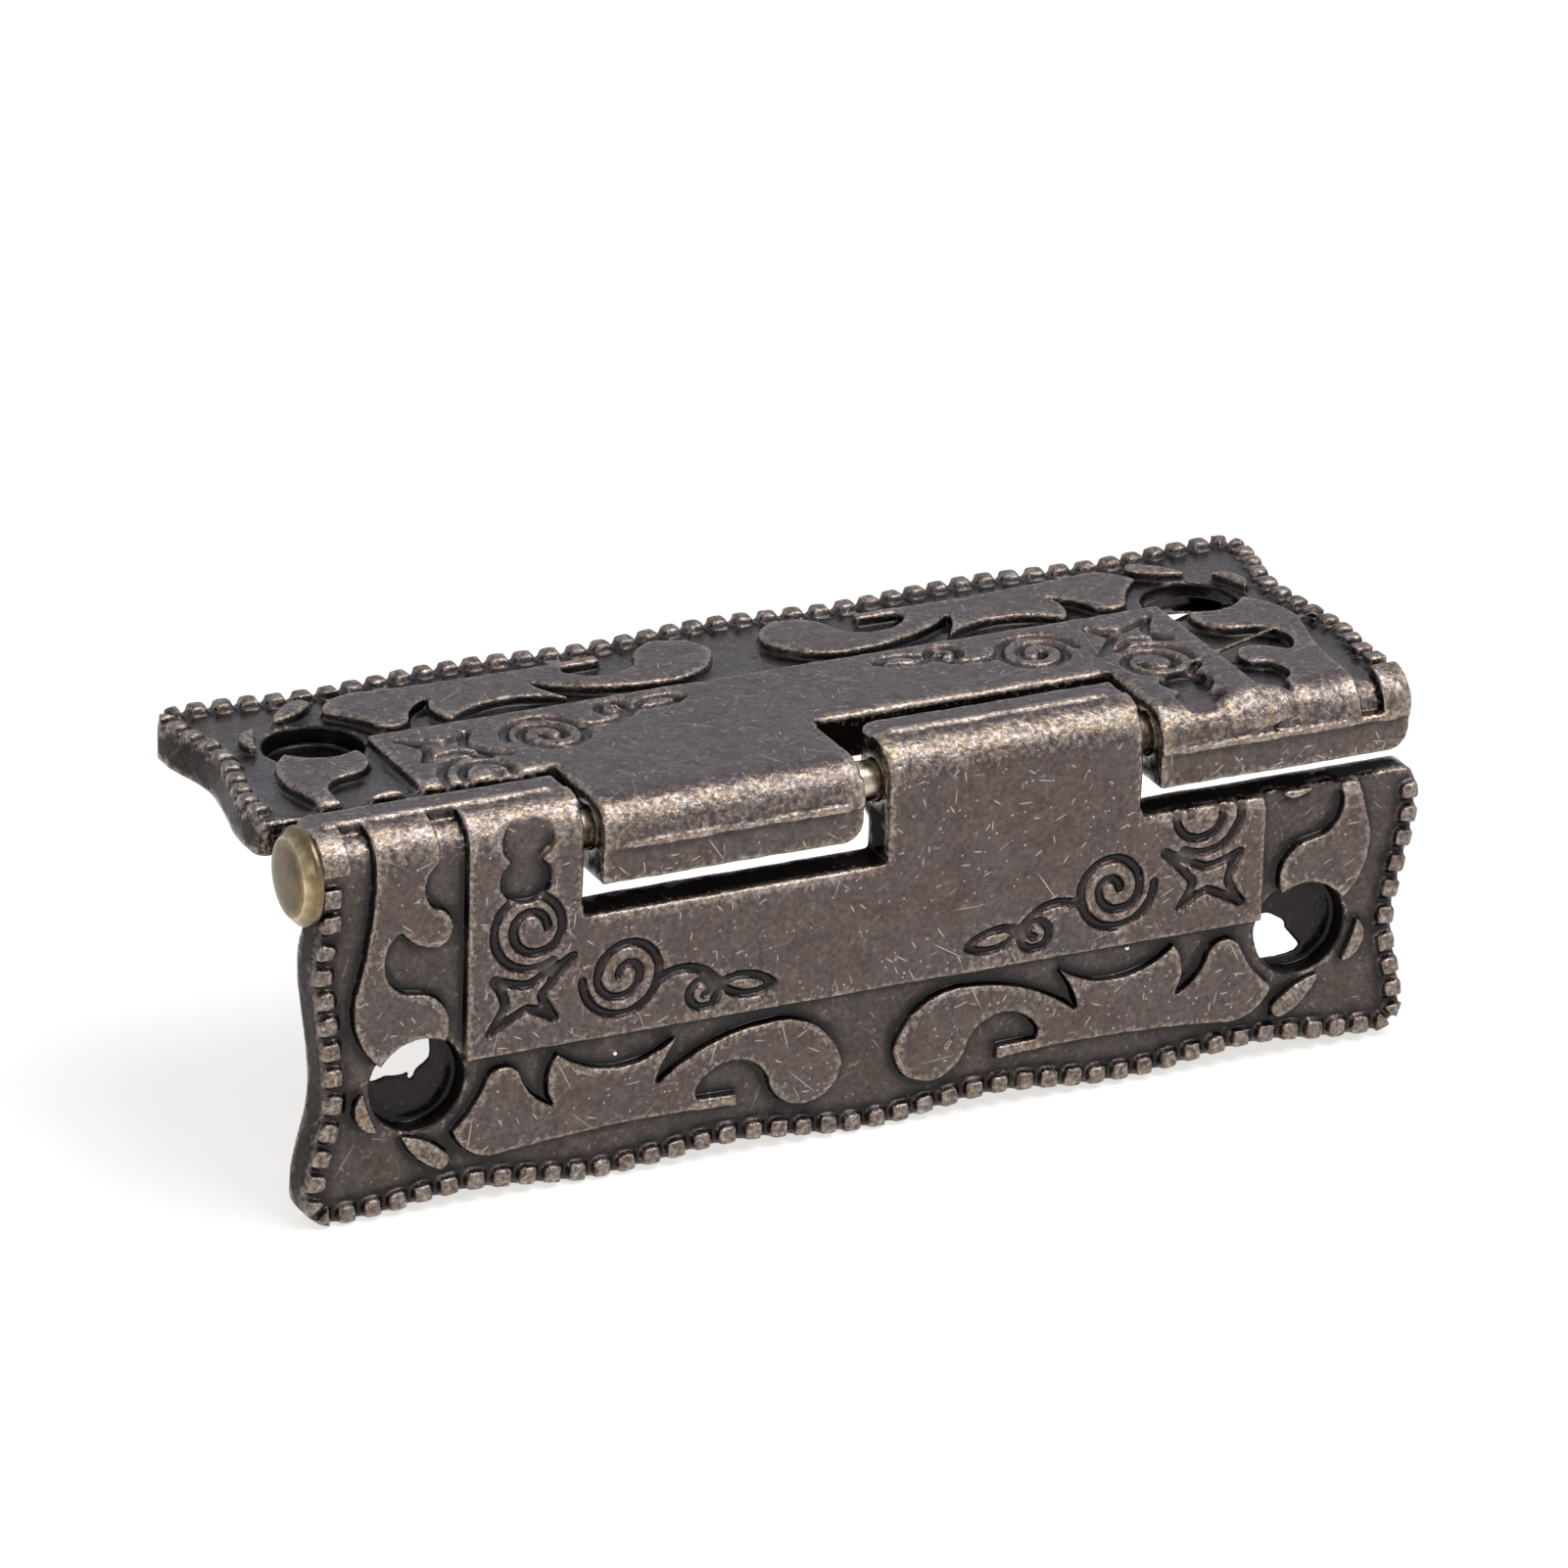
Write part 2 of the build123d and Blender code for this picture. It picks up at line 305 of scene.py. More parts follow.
bmesh.ops.mirror(lines, geom=lines.verts[:] + lines.edges[:] + lines.faces[:], axis="X", merge_dist=0)
bmesh.ops.recalc_face_normals(lines, faces=lines.faces)
print("panel lines", len(lines.faces), "faces")

# %% [markdown]
# ## Screw holes as they came from the mould
# A thin web of flash closes part of each hole, with a torn opening, and the back is dished round the hole.
# The webs could be modelled as skins, but short discs are enough.
# Their openings are few-cornered prisms listed one by one, because each tear is different.

# %% Webs and dishes of the holes
hole_x = 21.2
hole_y = -9.9
hole_radius = 2.2
web_top = 0.3
web_thickness = 0.26
web_radius = hole_radius + 0.15
dish_radius = 2.6
hole_sides = 48
tear_bottom, tear_top = web_top - 0.5, web_top + 0.2
tears = {
    "front_leaf": {
        -1: [
            (-2.6, -0.1), (-1.4, -0.05), (-1.03, 0.06), (-0.39, 0.01), (-0.14, 0.01), (0.07, 0.13),
            (0.02, -0.13), (0.12, -0.34), (0.28, -0.17), (0.43, 0.17), (0.73, 0.37), (0.99, 0.59),
            (1.03, 0.89), (0.9, 2.4), (-2.6, 2.4),
        ],
        1: [
            (-2.6, 0.45), (-1.02, 0.38), (-0.4, 0.03), (-0.18, -0.14), (-0.14, -0.46), (0.07, -0.71),
            (0.37, -1.08), (0.6, -1.38), (0.4, -1.62), (-0.5, -1.75), (-2.6, -1.7),
        ],
    },
    "top_leaf": {
        -1: [
            (-2.6, -2.6), (2.6, -2.6), (2.3, -0.9), (1.1, -0.75),
            (0.5, -0.5), (-0.2, -0.85), (-1.4, -1.0), (-2.6, -0.8),
        ],
        1: [(-1.1, 0.9), (0.2, 0.55), (1.2, 0.8), (1.3, 1.7), (-0.9, 1.8)],
    },
}


def prism(shape, corners, bottom, top):
    """An upright block over the corners, from bottom to top."""
    base = shape.faces.new([shape.verts.new((x, y, bottom)) for x, y in corners])
    risen = bmesh.ops.extrude_face_region(shape, geom=[base])["geom"]
    upper = [item for item in risen if isinstance(item, bmesh.types.BMVert)]
    bmesh.ops.translate(shape, vec=(0, 0, top - bottom), verts=upper)


def web_and_dish(node):
    """The flash webs with their tears cut out later, and the cutters of tears and dishes."""
    webs, cutters = bmesh.new(), bmesh.new()
    for side, corners in tears[node].items():
        middle = Vector((side * hole_x, hole_y, 0))
        web_place = Matrix.Translation(middle + Vector((0, 0, web_top - web_thickness / 2)))
        bmesh.ops.create_cone(
            webs, cap_ends=True, segments=hole_sides, radius1=web_radius, radius2=web_radius,
            depth=web_thickness, matrix=web_place,
        )
        prism(cutters, [(middle.x + x, middle.y + y) for x, y in corners], tear_bottom, tear_top)
        dish_depth = web_top - web_thickness - back_height
        dish_place = Matrix.Translation(middle + Vector((0, 0, back_height + dish_depth / 2)))
        bmesh.ops.create_cone(
            cutters, cap_ends=True, segments=hole_sides, radius1=dish_radius, radius2=hole_radius,
            depth=dish_depth, matrix=dish_place,
        )
    for shape in (webs, cutters):
        bmesh.ops.recalc_face_normals(shape, faces=shape.faces)
    return webs, cutters


print("tears drawn for", {node: len(sides) for node, sides in tears.items()})

# %% [markdown]
# ## Parting lines and spare metal
# The two halves of the mould met along the knuckles and left a ragged raised line there.
# On the lid's leaf spare metal left a blister and an end lump, and a scratch in the mould left a fine ridge.
# They could be sculpted, but slim rods and stretched balls that lie half in the casting are enough,
# because the melting step below blends them in.

# %% Raised lines
knuckles = ((-25.85, -13.7), (0.65, 12.95))
knuckle_top = 2.0
parting_z = -0.2
seam_height = 0.15
line_step = 0.45
line_end = 0.75
line_y = knuckle_top - 0.03
line_radius = 0.22
line_ragged = 0.08
line_wander = 0.05
ridge_z = face_height - 0.05
ridge_radius = 0.12
lean_back = -math.pi / 4


def rod(shape, start, end, radius):
    """A slim round rod between two points."""
    start, end = Vector(start), Vector(end)
    turn = (end - start).to_track_quat("Z", "Y").to_matrix().to_4x4()
    bmesh.ops.create_cone(
        shape, cap_ends=True, segments=10, radius1=radius, radius2=radius,
        depth=(end - start).length, matrix=Matrix.Translation((start + end) / 2) @ turn,
    )


def lump(shape, place, lean, sizes):
    """A blob of spare metal: a ball stretched to half sizes, leaning back by an angle about x."""
    stretch = Matrix.Rotation(lean, 4, "X") @ Matrix.Diagonal((*sizes, 1))
    bmesh.ops.create_icosphere(shape, subdivisions=3, radius=1.0, matrix=Matrix.Translation(place) @ stretch)


def raised_lines(node):
    """The ragged parting lines of a leaf's knuckles, and the lid leaf's blister, end lump and fine ridge."""
    shape = bmesh.new()
    for start, end in knuckles:
        steps = math.floor((end - start - 2 * line_end) / line_step)
        for i in range(steps):
            x = start + line_end + i * line_step
            ragged = noise.noise(Vector((x * 1.3, 2.7, 0.4)))
            z = parting_z + line_wander * noise.noise(Vector((x * 0.9, 0.2, 5.3)))
            radius = line_radius + line_ragged * ragged
            rod(shape, (x, line_y, z), (x + 1.3 * line_step, line_y, z), radius)
    if node == "top_leaf":
        lump(shape, (-18.45, 1.34, 1.04), lean_back, (2.05, 1.05, 0.36))
        lump(shape, (-17.4, 1.42, 0.98), lean_back, (0.8, 0.9, 0.36))
        lump(shape, (-19.6, 1.3, 0.98), lean_back, (0.95, 0.8, 0.38))
        lump(shape, (-19.8, 1.45, 0.35), 0, (0.85, 0.5, 0.7))
        lump(shape, (-25.25, 1.2, 0.15), 0, (0.95, 0.9, 1.2))
        rod(shape, (-16.8, -2.55, ridge_z), (-25.4, -5.98, ridge_z), ridge_radius)
    return shape


print("parting lines on", len(knuckles), "knuckles of each leaf")

# %% [markdown]
# ## Melting a casting together
# Cast metal has no sharp edge: the plating and the mould round everything a little.
# Bevels could round the solid's edges one by one, but webs, grooves and beads meet in too many ways for that.
# So the grooves are cut with a boolean, the raised bits are laid in place, and a voxel remesh melts all of it
# into one skin, which a few rounds of smoothing soften. A decimation then thins the flat parts.

# %% Tools for the melt
voxel = 0.085
line_voxel = 0.05
smooth_rounds = 6
skin_faces = 170000


def as_object(name, shape):
    """A new object with the shape of a bmesh, which is freed."""
    mesh = bpy.data.meshes.new(name)
    shape.to_mesh(mesh)
    shape.free()
    piece = bpy.data.objects.new(name, mesh)
    bpy.context.scene.collection.objects.link(piece)
    return piece


def modified(piece, kind, **settings):
    """Applies one modifier to a piece."""
    modifier = piece.modifiers.new(kind.lower(), kind)
    for name, value in settings.items():
        setattr(modifier, name, value)
    depsgraph = bpy.context.evaluated_depsgraph_get()
    mesh = bpy.data.meshes.new_from_object(piece.evaluated_get(depsgraph))
    old = piece.data
    piece.modifiers.clear()
    piece.data = mesh
    bpy.data.meshes.remove(old)
    return piece


def carved(piece, cutter):
    """Cuts one piece out of another, and removes the cutter."""
    modified(piece, "BOOLEAN", operation="DIFFERENCE", solver="EXACT", object=cutter)
    bpy.data.objects.remove(cutter)
    return piece


line_cutter = modified(as_object("line_cutter", lines), "REMESH", mode="VOXEL", voxel_size=line_voxel)
print("line cutter", len(line_cutter.data.polygons), "faces")


# %% One melted casting
def melted_leaf(node, name):
    """A leaf's casting in its drawing, with soft edges, cut lines, webs and raised lines."""
    webs, cutters = web_and_dish(node)
    own_lines = bpy.data.objects.new("own_lines", line_cutter.data.copy())
    bpy.context.scene.collection.objects.link(own_lines)
    leaf = as_object(name, casting_copy(node))
    carved(leaf, own_lines)
    skin = bmesh.new()
    cutter_object = as_object("hole_cutters", cutters)
    webs = as_object("webs", webs)
    for piece in (leaf, webs):
        modified(
            piece, "BOOLEAN", operation="DIFFERENCE", solver="EXACT", object=cutter_object, use_self=True,
        )
        skin.from_mesh(piece.data)
    for piece in (cutter_object, webs):
        bpy.data.objects.remove(piece)
    extra = raised_lines(node)
    spare = bpy.data.meshes.new("raised_lines")
    extra.to_mesh(spare)
    extra.free()
    skin.from_mesh(spare)
    skin.to_mesh(leaf.data)
    skin.free()
    modified(leaf, "REMESH", mode="VOXEL", voxel_size=voxel)
    modified(leaf, "SMOOTH", factor=0.5, iterations=smooth_rounds)
    print(name, len(leaf.data.polygons), "faces after the melt")
    return leaf


leaves = {
    "front_leaf": melted_leaf("front_leaf", "front_leaf_casting"),
    "top_leaf": melted_leaf("top_leaf", "top_leaf_casting"),
}

# %% [markdown]
# ## An uneven skin
# Poured metal sets with a slightly rippled face. Its beads and free edges are softer than the rest,
# and along the knuckles one half of the mould stood back a little from the other.
# A displace modifier could ripple the skin, but the soft places are chosen by where they lie,
# so the points are read as an array. Letting each slide to the middle of its neighbours, as in a net,
# rounds an edge, and the points are then written back.


# %% Points as a net
def relaxed(points, links, rounds):
    """Every point moved to the middle of its neighbours, again and again."""
    a, b = links.T
    size = len(points)
    count = np.bincount(links.ravel(), minlength=size)[:, None]
    for _ in range(rounds):
        sums = [np.bincount(a, points[b, k], size) + np.bincount(b, points[a, k], size) for k in range(3)]
        points = np.stack(sums, 1) / count
    return points


def read(items, name, width, kind):
    """One property of many mesh items as an array."""
    values = np.zeros(len(items) * width, kind)
    items.foreach_get(name, values)
    return values.reshape(-1, width)


print("points", {node: len(leaf.data.vertices) for node, leaf in leaves.items()})

# %% Uneven skin
ripple_mm = 0.9
swell_mm = 4.0
wave_height = 0.03
border_x = 24.6
border_y = -14.3
knuckle_margin = 0.3
end_reach = 0.45
shoulder_low, shoulder_high = -3.65, -2.8
bead_rounds, brow_rounds, lobe_rounds = 8, 12, 10
step_depth = 0.13
step_top = parting_z - 0.05
step_fade = 0.15


def on_border(points):
    """Which points lie in the beaded border."""
    return (points[:, 1] < border_y) | (np.abs(points[:, 0]) > border_x)


def between(x):
    """Which places along the pin lie between the leaf's own knuckles, where its shoulder is free."""
    apart = [(x < start - knuckle_margin) | (x > end + knuckle_margin) for start, end in knuckles]
    return np.all(apart, axis=0)


def unevened(leaf):
    """Softens beads and edges, steps the knuckles back below their parting line, and ripples the skin."""
    mesh = leaf.data
    points = read(mesh.vertices, "co", 3, np.float32)
    links = read(mesh.edges, "vertices", 2, np.int32)
    x, y, z = points.T
    beads = on_border(points) & (z > ground_height - 0.2) & (y < -2)
    near_end = np.min([np.abs(x - end) for knuckle in knuckles for end in knuckle], axis=0) < end_reach
    shoulder = (y > shoulder_low) & (y < shoulder_high)
    brows = np.where(between(x), shoulder, near_end & (y > shoulder_high))
    brows &= (z > 0.9) & (np.abs(x) < border_x)
    lobes = (x > -17.7) & (x < -14.3) & (y > -1.5) & (y < 1.6) & (z > 0.5)
    for place, rounds in ((beads, bead_rounds), (brows, brow_rounds), (lobes, lobe_rounds)):
        points[place] = relaxed(points, links, rounds)[place]
    y -= step_depth * np.clip((step_top - z) / step_fade, 0, 1) * (y > 1.3)
    normals = read(mesh.vertices, "normal", 3, np.float32)
    lift = [
        wave_height * noise.noise(Vector(p) / ripple_mm) + wave_height * noise.noise(Vector(p) / swell_mm)
        for p in points.tolist()
    ]
    points += normals * np.array(lift, np.float32)[:, None]
    points[:, 1] = np.minimum(points[:, 1], knuckle_top + seam_height)
    mesh.vertices.foreach_set("co", points.ravel())
    mesh.update()
    most = round(max(map(abs, lift)), 3)
    print(leaf.name, "moved by up to", most, "mm,", int(beads.sum()), "bead points softened")


for leaf in leaves.values():
    unevened(leaf)

# %% [markdown]
# ## Where hands and cloths have rubbed, and where light and shade are painted
# Antique plating is blackened all over and then rubbed, so high edges turn brassy and the grooves and the
# ground stay dark.
# Shader curvature could find the edges, but it reads only the nearest faces and a bake can lose it.
# So a point that stands above its place in the relaxed net is rubbed, and one below it lies in a crease.
# Knuckle rounds, parting lines and shoulder edges are lightened further as painted highlight. Creases, walls,
# holes and slots are darkened as painted shade.
# Slots, holes and the plate's sides are also made a dull non-metal, which is more painted shade. The three
# masks are stored on the points.

# %% Marks of rubbing, painted highlight and painted shade
fine_rounds = 16
coarse_rounds = 90
slot_low, slot_high = -3.6, -2.7


def mark_wear_light_and_shade(leaf, black, round_wear_and_highlight, upper_band_lift):
    """Writes where a leaf is rubbed bright and given painted highlight, where it is blackened and given
    painted shade, and where painted shade dulls its metal.
    """
    mesh = leaf.data
    points = read(mesh.vertices, "co", 3, np.float32).astype(float)
    normals = read(mesh.vertices, "normal", 3, np.float32)
    links = read(mesh.edges, "vertices", 2, np.int32)
    fine = relaxed(points, links, fine_rounds)
    coarse = relaxed(fine, links, coarse_rounds)
    stands = ((points - fine) * normals).sum(1)
    wide = ((points - coarse) * normals).sum(1)
    x, y, z = points.T
    upright = 1 - np.abs(normals[:, 2])
    outer = on_border(points)
    # Creases are the incised grooves, which are blackened for real, and the feet of walls, which are darkened
    # as painted shade.
    crease = np.clip((-stands - 0.008) / 0.05, 0, 1) + 0.45 * np.clip((-wide - 0.05) / 0.16, 0, 1)
    ground = (normals[:, 2] > 0.6) & (z < ground_height + 0.1) & (y < 0)
    # Upright walls are darkened as painted shade, and the plate's outer sides most of all.
    wall = np.clip((upright - 0.35) / 0.4, 0, 1) * (y < -1.5)
    # The bores of the holes are darkened as painted shade.
    bore = (np.hypot(np.abs(x) - hole_x, y - hole_y) < hole_radius + 0.12) & (z < ground_height)
    # The slots under the knuckles and the knuckle ends beside them are made near black as painted shade.
    slot = (normals[:, 1] > 0.6) & (y < slot_high) & (y > slot_low) & (z < 1.45)
    slot |= (np.abs(normals[:, 0]) > 0.6) & (y > slot_low) & (np.abs(x) < border_x) & (z < 1.3)
    # The dark mask holds real blackening in the grooves and on the ground, plus painted shade in creases, on
    # walls, in bores and in slots.
    blackening_and_shade = 0.8 * crease + black * ground + np.where(outer, 0.6, 0.25) * wall + 0.6 * bore + 0.95 * slot
    blackening_and_shade = np.clip(blackening_and_shade, 0, 1)
    # Convex edges have been rubbed bright for real.
    edge = 0.45 * np.clip((stands - 0.006) / 0.05, 0, 1) + 0.3 * np.clip((wide - 0.05) / 0.2, 0, 1)
    # Knuckle rounds that face up and forward are rubbed, and they are lightened further as painted highlight.
    over = np.clip(np.minimum(normals[:, 1], normals[:, 2]) / 0.4, 0, 1) * (y > -0.3) * (z > -0.2)
    # Knuckle faces above the parting line are lightened.
    front = (normals[:, 1] > 0.5) & (y > 1) & (z > parting_z)
    # Painted highlight lines run along the parting line and along the shoulders' front edges.
    seam = (y > 1.7) & (np.abs(z - parting_z) < 0.14)
    brow = between(x) & (y > -3.75) & (y < -3) & (z > 1.4) & ~outer
    wear_and_highlight = edge * np.where(outer, 0.85, 1) + round_wear_and_highlight * over + upper_band_lift * front + 0.35 * seam + 0.3 * brow
    wear_and_highlight = np.clip(wear_and_highlight, 0, 1) * ~bore
    # The plate's lower sides, the bores and the slots lose their metal sheen as painted shade, except where
    # they are rubbed.
    side = outer * (z < ground_height) * wall
    shade_dulling = np.clip(slot + 0.3 * bore + 0.75 * side, 0, 1) * (wear_and_highlight < 0.3)
    for name, values in (("wear_and_highlight", wear_and_highlight), ("blackening_and_shade", blackening_and_shade), ("shade_dulling", shade_dulling)):
        mesh.attributes.new(name, "FLOAT", "POINT").data.foreach_set("value", values.astype(np.float32))
    shares = [round(float((values > 0.5).mean()), 3) for values in (wear_and_highlight, blackening_and_shade, shade_dulling)]
    print(leaf.name, "shares rubbed, hollow and sooty", shares)


mark_wear_light_and_shade(leaves["front_leaf"], black=0.3, round_wear_and_highlight=0.52, upper_band_lift=0.1)
mark_wear_light_and_shade(leaves["top_leaf"], black=0.4, round_wear_and_highlight=0.26, upper_band_lift=0.25)

# %% Thin the flat parts and put the leaves in place
for node, leaf in leaves.items():
    triangles = sum(len(face.vertices) - 2 for face in leaf.data.polygons)
    modified(leaf, "DECIMATE", decimate_type="COLLAPSE", ratio=min(1.0, skin_faces / triangles))
    leaf.data.transform(places[node])
    leaf.data.shade_smooth()
    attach(leaf, node)
    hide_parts(node)
    print(leaf.name, triangles, "to", len(leaf.data.polygons), "triangles")
bpy.data.objects.remove(line_cutter)

# %% [markdown]
# ## Antique bronze
# The zinc is plated with bronze, blackened, tumbled and rubbed, then lacquered thinly.
# The eye sees a brown-grey metal with a sandy sparkle, near-black hollows and brassy grains along every edge.
# A metal's colour is its reflection, so the base colours are those the faces show in white surroundings.

# %% Antique bronze colours
grain_mm = 0.26
cloud_mm = 0.9
tone_mm = 3.2
bronze, tree, output = new_finish("antique_bronze_plated_zinc")
spot = add(tree, "TexCoord").outputs["Object"]
wear_and_highlight = add(tree, "Attribute", attribute_name="wear_and_highlight").outputs["Fac"]
blackening_and_shade = add(tree, "Attribute", attribute_name="blackening_and_shade").outputs["Fac"]
shade_dulling = add(tree, "Attribute", attribute_name="shade_dulling").outputs["Fac"]


def pattern(size_mm, low, high, detail=2.0):
    """Noise with bumps of a size, spread from low to high."""
    sizes = {"Vector": spot, "Scale": 1 / (size_mm * mm), "Detail": detail, "Roughness": 0.6}
    bumps = add(tree, "TexNoise", sizes)
    return spread(bumps.outputs["Fac"], (0.3, 0.7), (low, high))


def spread(value, source, target):
    """A value carried from one range to another, and kept inside it."""
    sizes = {"From Min": source[0], "From Max": source[1], "To Min": target[0], "To Max": target[1]}
    return add(tree, "MapRange", {"Value": value, **sizes}).outputs[0]


def mix(share, first, second, **settings):
    """Two colours mixed by a share."""
    return add(tree, "MixRGB", {"Fac": share, "Color1": first, "Color2": second}, **settings).outputs[0]


def sum_of(first, second, operation="ADD"):
    """One operation on two values."""
    return add(tree, "Math", {0: first, 1: second}, operation=operation).outputs[0]


tone = mix(pattern(tone_mm, 0, 1, 4.0), colour("#55463f"), colour("#555052"))
face = mix(pattern(cloud_mm, 0, 1, 3.0), tone, colour("#645954"))
grain = pattern(grain_mm, 0.0, 1.0, 3.0)
face = mix(1.0, face, spread(grain, (0, 1), (0.72, 1.3)), blend_type="MULTIPLY")
print("bronze grain", grain_mm, "mm, clouds", cloud_mm, "mm, tones", tone_mm, "mm")

# %% [markdown]
# ## Hairlines and painted glints
# Handling left short bright scratches that run every way, and tiny bright dots stand for the glints of the
# grainy plating as painted highlight.
# Stretched noise could draw streaks, but they would all run one way.
# Here the surface is unrolled into cells, x along the pin and y plus z down both leaves,
# and each cell draws one line through its middle, with its own angle, or none.

# %% Hairlines and painted glints
parts = add(tree, "SeparateXYZ", {0: spot})
down = sum_of(parts.outputs["Y"], parts.outputs["Z"])
unrolled = add(tree, "CombineXYZ", {"X": parts.outputs["X"], "Y": down}).outputs[0]


def hairlines(cell_mm, length_mm, width_mm, share):
    """One short straight line in some of the cells, each at its own angle."""
    grid = {"Vector": unrolled, "Scale": 1 / (cell_mm * mm)}
    cells = add(tree, "TexVoronoi", grid, voronoi_dimensions="2D")
    away = add(tree, "VectorMath", {0: unrolled, 1: cells.outputs["Position"]}, operation="SUBTRACT")
    luck = add(tree, "SeparateXYZ", {0: cells.outputs["Color"]})
    angle = sum_of(luck.outputs["X"], math.tau, "MULTIPLY")
    turned = add(tree, "VectorRotate", {"Vector": away.outputs[0], "Angle": angle}, rotation_type="Z_AXIS")
    ends = add(tree, "SeparateXYZ", {0: turned.outputs[0]})
    across = sum_of(ends.outputs["Y"], 0.0, "ABSOLUTE")
    along = sum_of(ends.outputs["X"], 0.0, "ABSOLUTE")
    thin = spread(across, (0.5 * width_mm * mm, 0.2 * width_mm * mm), (0, 1))
    short = spread(along, (0.5 * length_mm * mm, 0.2 * length_mm * mm), (0, 1))
    chosen = spread(luck.outputs["Y"], (1 - share, 1 - 0.4 * share), (0, 1))
    return sum_of(sum_of(thin, short, "MULTIPLY"), chosen, "MULTIPLY")


scratches = ((0.9, 0.8, 0.075, 0.16), (2.3, 2.0, 0.07, 0.35))
# These tiny bright dots are painted glints of the grainy plating.
glint_specks = ((0.31, 0.12, 0.11, 0.1), (0.73, 0.15, 0.14, 0.2))
scratches_and_glints = hairlines(0.55, 0.5, 0.09, 0.16)
for sizes in scratches + glint_specks:
    scratches_and_glints = sum_of(scratches_and_glints, hairlines(*sizes), "MAXIMUM")
scratches_and_glints = sum_of(scratches_and_glints, sum_of(1.0, blackening_and_shade, "SUBTRACT"), "MULTIPLY")
face = mix(sum_of(scratches_and_glints, 0.8, "MULTIPLY"), face, colour("#bcb1ad"))
print("hairlines 0.5, 0.8 and 2 mm long, specks 0.12 and 0.15 mm")

# %% [markdown]
# ## Hollows, rubbed edges, painted highlight and painted shade
# The blackening stays in the grooves and on the ground, where the lacquer has pooled and shines. Creases,
# walls, holes and slots get the same dark colour as painted shade.
# Rubbing broke through it on edges and rounds, grain by grain, and the rounds, parting lines and shoulder
# edges are lightened further as painted highlight. A painted mask could say where, but the masks on the
# points already do, so they meet the grain here.
# In the slots, the holes and down the sides, the metal is made a dull non-metal that hides its reflection, as
# painted shade.

# %% Hollows, rubbed edges, painted light and the shader
tint_mm = 0.6
glint_mm = 0.19
bump_mm = 0.028
# Near black in the blackened grooves and on the ground, and as painted shade in creases, on walls, in holes
# and in slots.
dark = mix(blackening_and_shade, face, colour("#14100e"))
# Brassy where edges are rubbed, and as painted highlight on knuckle rounds, parting lines and shoulder edges.
wear_and_highlight_share = spread(sum_of(wear_and_highlight, spread(grain, (0, 1), (-0.4, 0.4))), (0.3, 1.0), (0, 1))
gold = mix(pattern(tint_mm, 0, 1), colour("#b39d7c"), colour("#c9c1be"))
bright = mix(pattern(glint_mm, 0, 1), colour("#6f6052"), gold)
metal = mix(wear_and_highlight_share, dark, bright)
rough = sum_of(spread(grain, (0, 1), (0.46, 0.32)), sum_of(0.16, blackening_and_shade, "MULTIPLY"), "SUBTRACT")
bumps = add(tree, "Bump", {"Height": grain, "Strength": 1.0, "Distance": bump_mm * mm})
# The metallic value drops where painted shade dulls the slots, holes and sides.
shader = add(
    tree, "BsdfPrincipled",
    {
        "Base Color": metal, "Metallic": sum_of(1.0, shade_dulling, "SUBTRACT"), "Specular IOR Level": 0.0,
        "Roughness": rough, "Normal": bumps.outputs[0],
        "Coat Weight": sum_of(spread(blackening_and_shade, (0, 1), (0.2, 0.5)), sum_of(0.4, shade_dulling, "MULTIPLY"), "SUBTRACT"),
        "Coat Roughness": 0.1,
    },
)
tree.links.new(shader.outputs[0], output.inputs["Surface"])
for leaf in leaves.values():
    leaf.data.materials.clear()
    leaf.data.materials.append(bronze)
print("bronze on", [leaf.name for leaf in leaves.values()])

# %% [markdown]
# ## The pin
# The pin was turned from rod, with a thick cushioned head, and tumbled after plating.
# It could be cut from the solid's mesh, but a turned part is what the spin operator is for:
# half of its outline is drawn, its corners are bevelled, and it is spun once round the axis.

# %% Turned pin
pin_low, pin_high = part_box("hinge_pin")
hair = 0.001
pin_left, pin_right = pin_low.x / mm + hair, pin_high.x / mm - hair
head_radius = (pin_high.z - pin_low.z) / 2 / mm
head_thickness = 0.95
shaft_radius = 0.9
outline = [
    (pin_left, 0.0, 0.0), (pin_left + 0.03, 1.0, 0.3), (pin_left + 0.1, head_radius - 0.46, 0.09),
    (pin_left + 0.56, head_radius, 0.16), (pin_left + head_thickness - 0.12, head_radius - 0.01, 0.1),
    (pin_left + head_thickness, head_radius - 0.25, 0.06), (pin_left + head_thickness, shaft_radius, 0.03),
    (pin_right - 0.2, shaft_radius, 0.08), (pin_right, shaft_radius - 0.25, 0.08), (pin_right, 0.0, 0.0),
]
pin_shape = bmesh.new()
corners = [pin_shape.verts.new((x, 0, r)) for x, r, _ in outline]
for a, b in zip(corners, corners[1:]):
    pin_shape.edges.new((a, b))
for corner, (_, _, rounding) in zip(corners, outline):
    if rounding:
        bmesh.ops.bevel(
            pin_shape, geom=[corner], offset=rounding, affect="VERTICES",
            segments=4, profile=0.5, material=-1,
        )
bmesh.ops.spin(
    pin_shape, geom=pin_shape.verts[:] + pin_shape.edges[:], cent=(0, 0, 0), axis=(1, 0, 0),
    angle=math.tau, steps=72, use_merge=True,
)
bmesh.ops.remove_doubles(pin_shape, verts=pin_shape.verts, dist=0.001)
bmesh.ops.recalc_face_normals(pin_shape, faces=pin_shape.faces)
pin_place = Matrix.Translation(pin_axis) @ Matrix.Scale(mm, 4)
bmesh.ops.transform(pin_shape, matrix=pin_place, verts=pin_shape.verts)
pin = as_object("turned_pin", pin_shape)
pin.data.shade_smooth()
print("pin from", round(pin_left, 2), "to", round(pin_right, 2), "mm,", len(pin.data.polygons), "faces")

